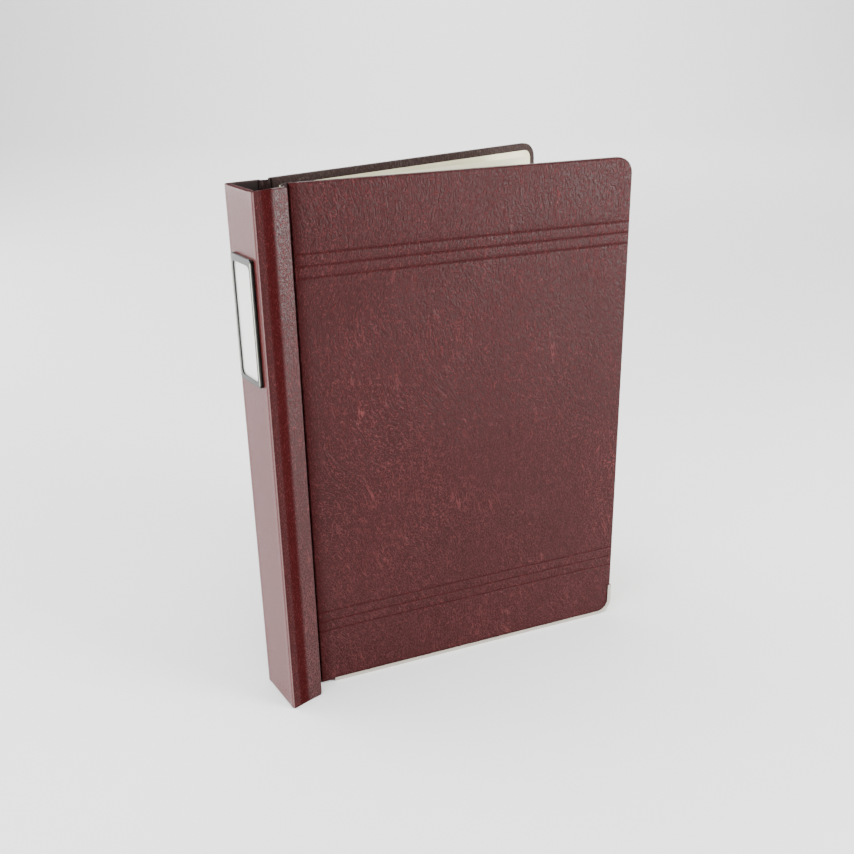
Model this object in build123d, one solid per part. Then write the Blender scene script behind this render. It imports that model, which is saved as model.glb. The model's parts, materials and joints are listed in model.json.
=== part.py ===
from build123d import *
import os
from math import asin, cos, degrees, radians, sin, sqrt

# A ring-bound coin album standing on its bottom edges with its covers a little apart.
# Plan directions: X runs from the spine to the fore-edge, Y from the front cover to the back cover.

# Driving dimensions, in millimetres and degrees
HEIGHT = 320.0
SPINE_WIDTH = 38.0
FLANGE_WIDTH = 22.0
COVER_WIDTH = 215.0
COVER_CORNER = 10.0
COVER_SPLAY = 10.0
FRONT_LEAN = 10.5
BACK_LEAN = -3.0

# Sheet materials
SKIN = 0.6
COVER_BOARD = 2.0
SPINE_BOARD = 2.2
PADDING = 1.0
LINING = 0.3
TURN_IN = 4.5

# Folds between the panels: the cover's hinge lies past the flange's free edge, and inwards of its fold
FOLD_RADIUS = 1.6
FOLD_GAP = 0.3
HINGE_RADIUS = 1.2
HINGE_GAP = 0.43
HINGE_DEPTH = 1.74
FRONT_REACH = 6.4
FRONT_DROP = 9.5
BACK_REACH = 4.9
BACK_DROP = -2.5
GUSSET = 0.7
# Points of each loose joint's pleat, from the flange's free edge and its outer face's fold line
FRONT_PLEAT = [(0.35, 0.6), (1.2, 6.2), (3.9, 9.3)]
BACK_PLEAT = [(0.35, 0.4), (2.2, 4.5), (4.3, 3.0)]

# Blind lines across both covers, from the top and bottom edges
LINE_EDGE = 39.0
LINE_PITCH = 6.8
LINE_COUNT = 3
LINE_WIDTH = 1.0
LINE_DEPTH = 0.25

# Metal channel on each cover's bottom edge
SHOE = 0.5
SHOE_LIP = 2.5
SHOE_START = 8.3
SHOE_RISE = 22.0

# Label frame and card on the spine
FRAME_WIDTH = 28.0
FRAME_HEIGHT = 72.5
FRAME_TOP = 36.0
FRAME_PROUD = 2.0
FRAME_SHEET = 0.8
FRAME_WALL = 1.3
FRAME_FLOOR = 1.5
FRAME_SIDE_LIP = 3.0
FRAME_TOP_LIP = 4.0
FRAME_BOTTOM_LIP = 3.0
FRAME_PIN = 0.6
FRAME_PIN_DEPTH = 1.2
CARD = 0.5
CARD_GAP = 0.3
CARD_TOP_GAP = 1.0

# Ring mechanism
WIRE = 2.6
RING_SET_OUT = 1.9
RING_CLEARANCE = 2.0
RING_COUNT = 4
RING_TIP_GAP = 0.25
STEM_CLEARANCE = 0.05
RING_SIDE = 2.7
RAIL_HALF = 10.4
RAIL_RISE = 5.7
RAIL_SIDE = 2.9
RAIL_SHEET = 0.8
RAIL_SLOT_GAP = 0.5
PLATE = 0.9
PLATE_LIFT = 1.7
PLATE_SIDE_GAP = 0.3
PLATE_SEAM = 0.2
PLATE_END = 6.5
RIVET = 1.6
RIVET_HEAD = 3.5
RIVET_HEAD_HEIGHT = 1.2
RIVET_NOTCH = 2.6
PIN = 0.8
PIN_CLEARANCE = 0.08
KNUCKLE = 1.7
KNUCKLE_LIFT = 2.3
LEVER_HALF = 3.5
LEVER_END = 3.0
LEVER_SHEET = 1.4
LEVER_RISE = 11.4
LEVER_GAP = 1.0
LEVER_LAP = 0.6
LEVER_FOOT = 0.2
TONGUE = 0.7
TONGUE_HALF = 1.5
TONGUE_REACH = 4.1

# Leaves on the rings
LEAF_DIRECTION = 5.0
LEAF_FAN = 0.2
LEAF_START = 2.0
LEAF_GAP = 0.45
FLYLEAF = 0.5
FLYLEAF_MARGIN = 4.0
FLYLEAF_WIDTH = COVER_WIDTH - 20.0
PAGE = 0.9
INTERLEAF = 0.4
PAGE_MARGIN = HEIGHT / 16
PAGE_WIDTH = FLYLEAF_WIDTH - 5.0
PAGE_COUNT = 4
LEAF_CORNER = 3.0
LEAF_OFFSET = 0.55
SLOT_HEIGHT = 4.6
SLOT_END = 3.0

FRONT = 1
BACK = -1

# Derived thicknesses
FLANGE = SKIN + COVER_BOARD + LINING
COVER = SKIN + PADDING + COVER_BOARD + SKIN
SPINE_FACE = SKIN + SPINE_BOARD + LINING
FLANGE_START = FOLD_RADIUS + FOLD_GAP
FLANGE_END = FLANGE_WIDTH - FOLD_RADIUS
COVER_START = HINGE_RADIUS + HINGE_GAP
COVER_END = COVER_START + COVER_WIDTH
COVER_BOTTOM = SHOE
WINDOW_CORNER = COVER_CORNER - TURN_IN


def spot(point, side, angle, along, inward):
    """A place in plan, measured along a panel and inwards from it, from the panel's own fold."""
    turn = radians(side * angle)
    x = point[0] + along * cos(turn) - side * inward * sin(turn)
    y = point[1] + along * sin(turn) + side * inward * cos(turn)
    return x, y


# Derived places in plan, from the spine's front bottom corner
FOLD = {FRONT: (FOLD_RADIUS, FOLD_RADIUS), BACK: (FOLD_RADIUS, SPINE_WIDTH - FOLD_RADIUS)}
LEAN = {FRONT: FRONT_LEAN, BACK: BACK_LEAN}
HINGE = {
    FRONT: spot(FOLD[FRONT], FRONT, FRONT_LEAN, FLANGE_END + FRONT_REACH, FRONT_DROP),
    BACK: spot(FOLD[BACK], BACK, BACK_LEAN, FLANGE_END + BACK_REACH, BACK_DROP),
}
SIDES = {FRONT: "front", BACK: "back"}

# The rings are the largest that clear the front joint
RING_Y = SPINE_WIDTH / 2 + RING_SIDE
RING_BASE = SPINE_FACE + RING_SET_OUT
reach = HINGE[FRONT][0] - RING_BASE
across = RING_Y - HINGE[FRONT][1]
keep_off = HINGE_RADIUS + WIRE / 2 + RING_CLEARANCE
RING_RADIUS = (reach**2 + across**2 - keep_off**2) / (2 * (reach + keep_off))
RING_X = RING_BASE + RING_RADIUS
RING_PITCH = HEIGHT / 4
RING_HEIGHTS = [HEIGHT / 2 + RING_PITCH * (i - (RING_COUNT - 1) / 2) for i in range(RING_COUNT)]
RAIL_BOTTOM = RING_HEIGHTS[0] - RING_PITCH / 4
RAIL_TOP = RING_HEIGHTS[-1] + RING_PITCH / 4
RIVET_HEIGHTS = [RING_HEIGHTS[0] + RING_PITCH / 4, RING_HEIGHTS[-1] - RING_PITCH / 4]
PLATE_FACE = SPINE_FACE + PLATE_LIFT
KNUCKLE_X = SPINE_FACE + KNUCKLE_LIFT

# Each ring meets its stem, beside the rings' middle, just above the hinge plate
root_share = (RING_X - PLATE_FACE - PLATE - STEM_CLEARANCE) / (RING_RADIUS + WIRE / 2)
RING_ROOT = RING_RADIUS * sqrt(1 - root_share**2)

# The own frame's origin is under the middle of the object, on the surface that it stands on
FAR_X = spot(HINGE[BACK], BACK, -COVER_SPLAY, COVER_END + SHOE, COVER - HINGE_DEPTH + SHOE)[0]
LOW_Y = spot(HINGE[FRONT], FRONT, -COVER_SPLAY, COVER_END + SHOE, -HINGE_DEPTH - SHOE)[1]
HIGH_Y = spot(HINGE[BACK], BACK, -COVER_SPLAY, COVER_END + SHOE, -HINGE_DEPTH - SHOE)[1]
MIDDLE_X = (FAR_X - FRAME_PROUD) / 2
MIDDLE_Y = (LOW_Y + HIGH_Y) / 2


def block(x0, x1, y0, y1, z0, z1):
    """A box between three pairs of limits."""
    return Pos((x0 + x1) / 2, (y0 + y1) / 2, (z0 + z1) / 2) * Box(x1 - x0, y1 - y0, z1 - z0)


def sheet(x0, x1, y0, y1, z0, z1, corner):
    """A flat sheet with its thickness along Y and its two fore-edge corners rounded."""
    plain = block(x0, x1, y0, y1, z0, z1)
    return fillet(plain.edges().filter_by(Axis.Y).group_by(Axis.X)[-1], corner)


def rod(x0, x1, y, z, radius):
    """A round rod along X."""
    return Pos((x0 + x1) / 2, y, z) * Rot(0, 90, 0) * Cylinder(radius, x1 - x0)


def place(shape, side, point, angle):
    """Set a panel that is drawn along X with its inside towards +Y on its fold."""
    if side == BACK:
        shape = mirror(shape, about=Plane.XZ)
    return Pos(point[0], point[1], 0) * Rot(0, 0, side * angle) * shape


def save(name, shape):
    """Move a sub-part into the object's own frame and write it."""
    export_step(Pos(-MIDDLE_X, -MIDDLE_Y, 0) * shape, f"parts/{name}.step")


# Spine: board, leatherette over its outside and ends, and paper lining
def make_spine():
    low = FOLD_RADIUS + FLANGE_START
    high = SPINE_WIDTH - low
    pins = [rod(0, SKIN + FRAME_PIN_DEPTH, y, z, FRAME_PIN) for y, z in frame_pin_places()]
    rivets = [rod(SKIN + FRAME_PIN_DEPTH, SPINE_FACE, RING_Y, z, RIVET) for z in RIVET_HEIGHTS]
    board = block(SKIN, SKIN + SPINE_BOARD, low, high, SKIN, HEIGHT - SKIN)
    lining = block(SKIN + SPINE_BOARD, SPINE_FACE, low, high, SKIN, HEIGHT - SKIN)
    outer = block(0, SPINE_FACE, low, high, 0, HEIGHT)
    leatherette = outer - block(SKIN, SPINE_FACE, low, high, SKIN, HEIGHT - SKIN)
    for pin in pins:
        board -= pin
        leatherette -= pin
    for rivet in rivets:
        board -= rivet
        lining -= rivet
    save("spine_board", board)
    save("spine_leatherette", leatherette)
    save("spine_lining", lining)


# Rounded leatherette fold on each long corner of the spine
def make_spine_fold(side):
    fold = Pos(FOLD[side][0], FOLD[side][1], HEIGHT / 2) * Cylinder(FOLD_RADIUS, HEIGHT)
    save(f"{SIDES[side]}_spine_fold", fold)


def frame_pin_places():
    """The four pins stand behind the frame's side walls, near its corners."""
    out = (FRAME_WIDTH - FRAME_WALL) / 2
    top = HEIGHT - FRAME_TOP - FRAME_WALL
    bottom = HEIGHT - FRAME_TOP - FRAME_HEIGHT + FRAME_WALL
    return [(SPINE_WIDTH / 2 + sign * out, z) for sign in (-1, 1) for z in (bottom, top)]


# Label frame: a pressed rim with walls on three sides, open at the top for the card
def make_label_frame():
    middle = SPINE_WIDTH / 2
    low, high = middle - FRAME_WIDTH / 2, middle + FRAME_WIDTH / 2
    top = HEIGHT - FRAME_TOP
    bottom = top - FRAME_HEIGHT
    back_of_lip = FRAME_SHEET - FRAME_PROUD
    frame = block(-FRAME_PROUD, 0, low, high, bottom, top)
    frame = fillet(frame.edges().filter_by(Axis.X), 2 * FRAME_WALL)
    frame = chamfer(frame.faces().sort_by(Axis.X)[0].outer_wire().edges(), FRAME_SHEET / 2)
    frame -= block(back_of_lip, 0, low + FRAME_WALL, high - FRAME_WALL, bottom + FRAME_FLOOR, top)
    window = block(
        -FRAME_PROUD, 0,
        low + FRAME_SIDE_LIP, high - FRAME_SIDE_LIP,
        bottom + FRAME_BOTTOM_LIP, top - FRAME_TOP_LIP,
    )
    frame -= fillet(window.edges().filter_by(Axis.X), FRAME_SIDE_LIP)
    for y, z in frame_pin_places():
        frame += rod(-CARD, SKIN + FRAME_PIN_DEPTH, y, z, FRAME_PIN)
    save("label_frame", frame)


# Label card: a plain card that slides in from the top, behind the rim
def make_label_card():
    middle = SPINE_WIDTH / 2
    half = FRAME_WIDTH / 2 - FRAME_WALL - CARD_GAP
    top = HEIGHT - FRAME_TOP
    bottom = top - FRAME_HEIGHT + FRAME_FLOOR
    front = FRAME_SHEET - FRAME_PROUD + CARD_GAP
    card = block(front, front + CARD, middle - half, middle + half, bottom + CARD_GAP, top - CARD_TOP_GAP)
    save("label_card", card)


# Flanges: narrow stiff panels between the spine and the loose joints
def make_flange(side):
    outside = -FOLD_RADIUS
    inside = outside + FLANGE
    core = outside + SKIN + COVER_BOARD
    board = block(FLANGE_START, FLANGE_END - SKIN, outside + SKIN, core, SKIN, HEIGHT - SKIN)
    lining = block(FLANGE_START, FLANGE_END - SKIN, core, inside, SKIN, HEIGHT - SKIN)
    wrap = block(FLANGE_START, FLANGE_END, outside, inside, 0, HEIGHT)
    wrap -= block(FLANGE_START, FLANGE_END - SKIN, outside + SKIN, inside, SKIN, HEIGHT - SKIN)
    for name, shape in (("board", board), ("lining", lining), ("leatherette", wrap)):
        save(f"{SIDES[side]}_flange_{name}", place(shape, side, FOLD[side], LEAN[side]))


# Joint gussets: loose leatherette from each flange's free edge to the cover's hinge line
def make_gusset(side):
    end = FLANGE_END
    if side == FRONT:
        hinge = (end + FRONT_REACH, FRONT_DROP)
        pleat = FRONT_PLEAT
    else:
        hinge = (end + BACK_REACH, BACK_DROP)
        pleat = BACK_PLEAT
    route = [(end + along, inward) for along, inward in pleat] + [hinge]
    strip = Face(offset_band(route, GUSSET))
    gusset = extrude(strip, amount=HEIGHT, dir=(0, 0, 1))
    gusset += Pos(hinge[0], hinge[1], HEIGHT / 2) * Cylinder(HINGE_RADIUS, HEIGHT)
    save(f"{SIDES[side]}_joint_gusset", place(gusset, side, FOLD[side], LEAN[side]))


def offset_band(route, width):
    """The closed outline of a band of the given width along an open route."""
    left, right = [], []
    for index, (x, y) in enumerate(route):
        before = route[max(index - 1, 0)]
        after = route[min(index + 1, len(route) - 1)]
        run = sqrt((after[0] - before[0]) ** 2 + (after[1] - before[1]) ** 2)
        nx, ny = -(after[1] - before[1]) / run, (after[0] - before[0]) / run
        left.append((x + nx * width / 2, y + ny * width / 2))
        right.append((x - nx * width / 2, y - ny * width / 2))
    return Wire.make_polygon([(x, y, 0) for x, y in left + right[::-1]], close=True)


# Covers: board, thin padding, wrapped leatherette with blind lines, endpaper and metal shoe
def make_cover(side):
    outside = -HINGE_DEPTH
    inside = outside + COVER
    padded = outside + SKIN + PADDING
    bottom = COVER_BOTTOM
    core_corner = COVER_CORNER - SKIN
    limits = (COVER_START, COVER_END - SKIN)
    ends = (bottom + SKIN, HEIGHT - SKIN)

    padding = sheet(*limits, outside + SKIN, padded, *ends, core_corner)
    board = sheet(*limits, padded, inside - SKIN, *ends, core_corner)
    window = sheet(
        COVER_START, COVER_END - TURN_IN,
        inside - SKIN, inside,
        bottom + TURN_IN, HEIGHT - TURN_IN,
        WINDOW_CORNER,
    )
    whole = sheet(COVER_START, COVER_END, outside, inside, bottom, HEIGHT, COVER_CORNER)
    wrap = whole - padding - board - window
    for z in blind_line_heights():
        wrap -= block(
            COVER_START, COVER_END, outside, outside + LINE_DEPTH, z - LINE_WIDTH / 2, z + LINE_WIDTH / 2
        )

    shoe_end = COVER_END + SHOE
    shoe = block(COVER_START + SHOE_START, shoe_end, outside - SHOE, inside + SHOE, 0, SHOE_RISE)
    shoe = fillet(low_fore_edge(shoe), COVER_CORNER + SHOE)
    opening = block(COVER_START, shoe_end - SHOE_LIP, outside - SHOE, inside + SHOE, SHOE_LIP, 2 * SHOE_RISE)
    opening = fillet(low_fore_edge(opening), COVER_CORNER + SHOE - SHOE_LIP)
    shoe = shoe - opening - whole

    pieces = {
        "cover_padding": padding,
        "cover_board": board,
        "cover_leatherette": wrap,
        "endpaper": window,
        "edge_shoe": shoe,
    }
    for name, shape in pieces.items():
        save(f"{SIDES[side]}_{name}", place(shape, side, HINGE[side], -COVER_SPLAY))


def low_fore_edge(shape):
    """The edge through the thickness at the bottom fore-edge corner."""
    return shape.edges().filter_by(Axis.Y).group_by(Axis.X)[-1].sort_by(Axis.Z)[0]


def blind_line_heights():
    """Heights of the lines near the bottom edge and, mirrored, near the top edge."""
    up = [LINE_EDGE + LINE_PITCH * i for i in range(LINE_COUNT)]
    return up + [HEIGHT - z for z in up]


# Ring rail: arched sheet with straight sides, slotted for the rings and held by two rivets
def make_rail():
    length = RAIL_TOP - RAIL_BOTTOM
    outer = rail_section(RAIL_HALF, RAIL_SIDE, RAIL_RISE)
    inner = rail_section(RAIL_HALF - RAIL_SHEET, RAIL_SIDE - RAIL_SHEET / 3, RAIL_RISE - RAIL_SHEET)
    rail = Pos(SPINE_FACE, RING_Y, RAIL_BOTTOM) * extrude(outer - inner, amount=length)
    slot_in = RING_ROOT - WIRE / 2 - RAIL_SLOT_GAP
    slot_out = RAIL_HALF - RAIL_SHEET
    slot_half = WIRE / 2 + RAIL_SLOT_GAP
    for z in RING_HEIGHTS:
        for sign in (FRONT, BACK):
            low, high = sorted((RING_Y - sign * slot_in, RING_Y - sign * slot_out))
            x0 = SPINE_FACE + RAIL_SIDE
            rail -= block(x0, x0 + RAIL_RISE, low, high, z - slot_half, z + slot_half)
    for pin in lever_pins():
        rail -= pin
    face = SPINE_FACE + RAIL_RISE
    rivets = []
    for z in RIVET_HEIGHTS:
        rail -= rod(SPINE_FACE, face, RING_Y, z, RIVET)
        head = rod(face, face + RIVET_HEAD_HEIGHT, RING_Y, z, RIVET_HEAD)
        head = fillet(head.faces().sort_by(Axis.X)[-1].edges(), RIVET_HEAD_HEIGHT * 0.7)
        rivets.append(head + rod(SKIN + FRAME_PIN_DEPTH, face, RING_Y, z, RIVET))
    save("ring_rail", rail)
    save("rail_rivets", Compound(children=rivets))


def rail_section(half, side, rise):
    """Plan outline of the rail: straight sides from the spine, then an arch."""
    outline = Polyline((side, -half), (0, -half), (0, half), (side, half))
    arch = ThreePointArc((side, half), (rise, 0), (side, -half))
    return make_face(outline + arch)


# Hinge plates and half rings: each half ring stands on its own plate
def make_ring_half(side):
    edge = RAIL_HALF - RAIL_SHEET - PLATE_SIDE_GAP
    low, high = RAIL_BOTTOM + PLATE_END, RAIL_TOP - PLATE_END
    plate = block(PLATE_FACE, PLATE_FACE + PLATE, -edge, -PLATE_SEAM, low, high)
    for z in RIVET_HEIGHTS:
        plate -= rod(PLATE_FACE - 1, PLATE_FACE + PLATE + 1, 0, z, RIVET_NOTCH)

    tip = degrees(RING_TIP_GAP / 2 / RING_RADIUS)
    root = 180 - degrees(asin(RING_ROOT / RING_RADIUS))
    section = Plane.XZ * Pos(RING_RADIUS, 0) * Circle(WIRE / 2)
    arc = Rot(0, 0, -tip) * revolve(section, axis=Axis.Z, revolution_arc=-(root - tip))
    root_x = RING_X - sqrt(RING_RADIUS**2 - RING_ROOT**2)
    rings = []
    for z in RING_HEIGHTS:
        stem = rod(PLATE_FACE + PLATE, root_x + 0.2, -RING_ROOT, z, WIRE / 2)
        rings.append(Pos(RING_X, 0, z) * arc + stem)
    half_rings = Compound(children=rings)
    for name, shape in (("hinge_plate", plate), ("half_rings", half_rings)):
        if side == BACK:
            shape = mirror(shape, about=Plane.XZ)
        save(f"{SIDES[side]}_{name}", Pos(0, RING_Y, 0) * shape)


# End levers: each turns on a pin across the rail, and its tongue lifts the hinge plates
def make_lever(end):
    pivot = RAIL_TOP - LEVER_END
    tab_z = RAIL_TOP + LEVER_GAP
    lever = Pos(KNUCKLE_X, 0, pivot) * Rot(90, 0, 0) * Cylinder(KNUCKLE, 2 * LEVER_HALF)
    lever += block(KNUCKLE_X, KNUCKLE_X + LEVER_SHEET, -LEVER_HALF, LEVER_HALF, pivot, tab_z + LEVER_LAP)
    foot, rim = KNUCKLE_X + LEVER_FOOT, KNUCKLE_X + LEVER_RISE
    tab = block(foot, rim, -LEVER_HALF, LEVER_HALF, tab_z, tab_z + LEVER_SHEET)
    lever += fillet(tab.edges().filter_by(Axis.Z).group_by(Axis.X)[-1], LEVER_HALF * 0.6)
    under = KNUCKLE_X - KNUCKLE
    lever += block(under, under + TONGUE, -TONGUE_HALF, TONGUE_HALF, pivot - TONGUE_REACH, pivot)
    lever -= Pos(KNUCKLE_X, 0, pivot) * Rot(90, 0, 0) * Cylinder(PIN + PIN_CLEARANCE, 2 * LEVER_HALF)
    if end == "bottom":
        lever = mirror(lever, about=Plane.XY.offset(HEIGHT / 2))
    save(f"{end}_lever", Pos(0, RING_Y, 0) * lever)


def lever_pins():
    """The levers' pins, with their ends in the rail's side walls."""
    ends = (RAIL_BOTTOM + LEVER_END, RAIL_TOP - LEVER_END)
    return [Pos(KNUCKLE_X, RING_Y, z) * Rot(90, 0, 0) * Cylinder(PIN, 2 * RAIL_HALF) for z in ends]


# Leaves: thin sheets with a slot for each ring, fanned slightly from back to front
def make_leaves():
    offset = LEAF_OFFSET * RING_RADIUS
    direction = LEAF_DIRECTION
    save("back_flyleaf", leaf(offset, direction, FLYLEAF, FLYLEAF_MARGIN, FLYLEAF_WIDTH))
    before = FLYLEAF
    for number in range(PAGE_COUNT, 0, -1):
        offset -= (before + PAGE) / 2 + LEAF_GAP
        direction -= LEAF_FAN
        save(f"coin_page_{number}", leaf(offset, direction, PAGE, PAGE_MARGIN, PAGE_WIDTH))
        if number > 1:
            offset -= (PAGE + INTERLEAF) / 2 + LEAF_GAP
            direction -= LEAF_FAN
            save(f"interleaf_{number - 1}", leaf(offset, direction, INTERLEAF, PAGE_MARGIN, PAGE_WIDTH))
        before = INTERLEAF


def leaf(offset, direction, thick, margin, width):
    """One leaf beside the rings' axis, with its binding edge just past it."""
    near, far = offset - thick / 2, offset + thick / 2
    body = sheet(LEAF_START, LEAF_START + width, near, far, margin, HEIGHT - margin, LEAF_CORNER)
    first = sqrt(RING_RADIUS**2 - (LEAF_OFFSET * RING_RADIUS) ** 2) - WIRE
    for z in RING_HEIGHTS:
        body -= block(first, RING_RADIUS + SLOT_END, near, far, z - SLOT_HEIGHT / 2, z + SLOT_HEIGHT / 2)
    return Pos(RING_X, RING_Y, 0) * Rot(0, 0, direction) * body


os.makedirs("parts", exist_ok=True)
make_spine()
make_label_frame()
make_label_card()
make_rail()
for side in SIDES:
    make_spine_fold(side)
    make_flange(side)
    make_gusset(side)
    make_cover(side)
    make_ring_half(side)
for end in ("top", "bottom"):
    make_lever(end)
save("lever_pins", Compound(children=lever_pins()))
make_leaves()
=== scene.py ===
import json
from math import cos, exp, pi, radians, sin

import bmesh
import bpy
from mathutils import Matrix, Vector, noise


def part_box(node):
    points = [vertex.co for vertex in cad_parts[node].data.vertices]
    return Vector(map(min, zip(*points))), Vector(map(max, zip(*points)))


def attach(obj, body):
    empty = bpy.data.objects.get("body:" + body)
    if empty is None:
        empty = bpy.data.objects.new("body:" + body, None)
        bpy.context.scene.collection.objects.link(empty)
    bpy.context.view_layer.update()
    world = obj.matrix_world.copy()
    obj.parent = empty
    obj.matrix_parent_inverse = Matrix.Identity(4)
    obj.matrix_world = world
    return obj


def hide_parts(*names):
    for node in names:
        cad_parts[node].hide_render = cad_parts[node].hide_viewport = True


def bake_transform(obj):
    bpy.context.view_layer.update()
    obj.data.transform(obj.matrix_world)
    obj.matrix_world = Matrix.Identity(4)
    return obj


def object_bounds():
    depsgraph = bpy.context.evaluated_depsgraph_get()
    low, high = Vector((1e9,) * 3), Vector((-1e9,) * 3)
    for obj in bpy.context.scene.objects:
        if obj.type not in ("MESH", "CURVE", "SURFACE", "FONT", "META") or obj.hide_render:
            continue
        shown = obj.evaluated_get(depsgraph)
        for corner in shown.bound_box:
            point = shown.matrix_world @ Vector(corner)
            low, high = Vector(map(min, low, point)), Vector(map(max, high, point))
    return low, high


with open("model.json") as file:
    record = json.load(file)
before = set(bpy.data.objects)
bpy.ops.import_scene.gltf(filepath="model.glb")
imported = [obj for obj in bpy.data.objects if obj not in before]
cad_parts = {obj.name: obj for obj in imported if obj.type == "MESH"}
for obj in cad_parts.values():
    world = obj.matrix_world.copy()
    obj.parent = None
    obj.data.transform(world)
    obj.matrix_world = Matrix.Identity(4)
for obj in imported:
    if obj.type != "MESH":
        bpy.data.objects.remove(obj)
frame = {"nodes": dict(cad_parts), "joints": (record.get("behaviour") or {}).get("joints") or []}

cad_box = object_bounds()
MM = 0.001


# Spine board and its lining paper. Grey millboard 2.2 mm thick, with dark brown paper glued inside; the paper
# is made near-black, partly painted shade.
# Both are cut square and lie between the two folds; only the paper's face shows, inside the album.
def new_finish(name, **settings):
    """A new material, with the plain settings made on its shader's own sockets."""
    finish = bpy.data.materials.new(name)
    finish.use_nodes = True
    tree = finish.node_tree
    shader = tree.nodes["Principled BSDF"]
    for socket, value in settings.items():
        shader.inputs[socket.replace("_", " ")].default_value = value
    return finish, tree, shader


def put(tree, kind, into=None, **settings):
    """Add a node. The settings are its own, and into maps its inputs to values or to other nodes' outputs."""
    node = tree.nodes.new("ShaderNode" + kind)
    for setting, value in settings.items():
        setattr(node, setting, value)
    for socket, value in (into or {}).items():
        if isinstance(value, bpy.types.NodeSocket):
            tree.links.new(value, node.inputs[socket])
        else:
            node.inputs[socket].default_value = value
    return node


def places(tree, stretch=(1, 1, 1)):
    """Where a point lies on the piece itself, stretched along each axis."""
    at = put(tree, "TexCoord")
    return put(tree, "Mapping", {"Vector": at.outputs["Object"], "Scale": stretch}).outputs["Vector"]


def speckle(tree, where, scale, detail=3.0, rough=0.55):
    """Cloudy noise, from 0 to 1."""
    into = {"Vector": where, "Scale": scale, "Detail": detail, "Roughness": rough}
    return put(tree, "TexNoise", into).outputs["Fac"]


def between(tree, value, low, high, to_low=0.0, to_high=1.0):
    """Bring a value's range low to high onto another range, easing in and out."""
    into = {"Value": value, "From Min": low, "From Max": high, "To Min": to_low, "To Max": to_high}
    return put(tree, "MapRange", into, interpolation_type="SMOOTHSTEP").outputs["Result"]


def tint(tree, share, first, second):
    """A colour between two, by a share from 0 to 1."""
    mixed = put(tree, "Mix", data_type="RGBA")
    tree.links.new(share, mixed.inputs[0])
    mixed.inputs[6].default_value = (*first, 1)
    mixed.inputs[7].default_value = (*second, 1)
    return mixed.outputs[2]


def emboss(tree, shader, height, depth, strength=1.0):
    """Bump the surface by a height that runs from 0 to 1."""
    raised = put(tree, "Bump", {"Height": height, "Distance": depth, "Strength": strength})
    tree.links.new(raised.outputs["Normal"], shader.inputs["Normal"])


def arithmetic(tree, operation, *values):
    """One sum on one, two or three values."""
    return put(tree, "Math", dict(enumerate(values)), operation=operation).outputs[0]


CLOUD_SCALE = 38
FIBRE_WEIGHT = 0.55


def fibre_finish(name, light, dark, grain, depth, roughness):
    """Paper or board: short pressed fibres, with a cloudy change of shade."""
    finish, tree, shader = new_finish(name, Roughness=roughness, Specular_IOR_Level=0.3)
    where = places(tree)
    fibre = speckle(tree, where, grain, 5, 0.7)
    share = arithmetic(tree, "MULTIPLY_ADD", fibre, FIBRE_WEIGHT, speckle(tree, where, CLOUD_SCALE, 4))
    tree.links.new(tint(tree, between(tree, share, 0.5, 1.1), light, dark), shader.inputs["Base Color"])
    emboss(tree, shader, fibre, depth)
    return finish


def cover_with(finish, *nodes):
    """Give a material to CAD nodes that stay in sight."""
    for name in nodes:
        part = frame["nodes"][name]
        part.data.materials.clear()
        part.data.materials.append(finish)


board_finish = fibre_finish("millboard", (0.33, 0.31, 0.27), (0.22, 0.20, 0.17), 900, 0.00008, 0.9)
# The lining is dark brown paper, made near-black as painted shade for the inside of the spine and flanges.
lining_and_shade_finish = fibre_finish(
    "lining_paper_painted_shade", (0.016, 0.008, 0.007), (0.010, 0.005, 0.0045), 1500, 0.00004, 0.8
)
sides = ("front", "back")
cover_with(board_finish, "spine_board")
cover_with(board_finish, *(f"{side}_cover_board" for side in sides))
cover_with(lining_and_shade_finish, "spine_lining", *(f"{side}_flange_lining" for side in sides))


# Spine leatherette. Burgundy coated bookcloth 0.6 mm thick, stretched smooth over the spine's board.
# It wraps the board's outside and its two ends, where it is dull; its long sides run on under the folds.
INWARD = {"front": 1, "back": -1}
HEIGHT = cad_box[1].z / MM
# Each shade pair runs from the cloth's own dark colour to a paler tint, used mostly for the painted highlight
# on the grain's ridges and a little for patchy tone.
BURGUNDY = ((0.0170, 0.0002, 0.0004), (0.108, 0.023, 0.024))
# The spine is the covers' cloth, given lighter shades: a painted sheen, as it faces the light behind on the
# left.
SPINE_SHEEN_BURGUNDY = ((0.080, 0.0035, 0.0036), (0.120, 0.012, 0.012))
GRAIN_LEANS_BELOW = 0.27
STROKE_EDGE = 0.05
CREASE_SCALE = 190
CREASE_EDGE = 0.013
DUST_SCALE = 2600
MATT_GLOSS = 0.04


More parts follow.
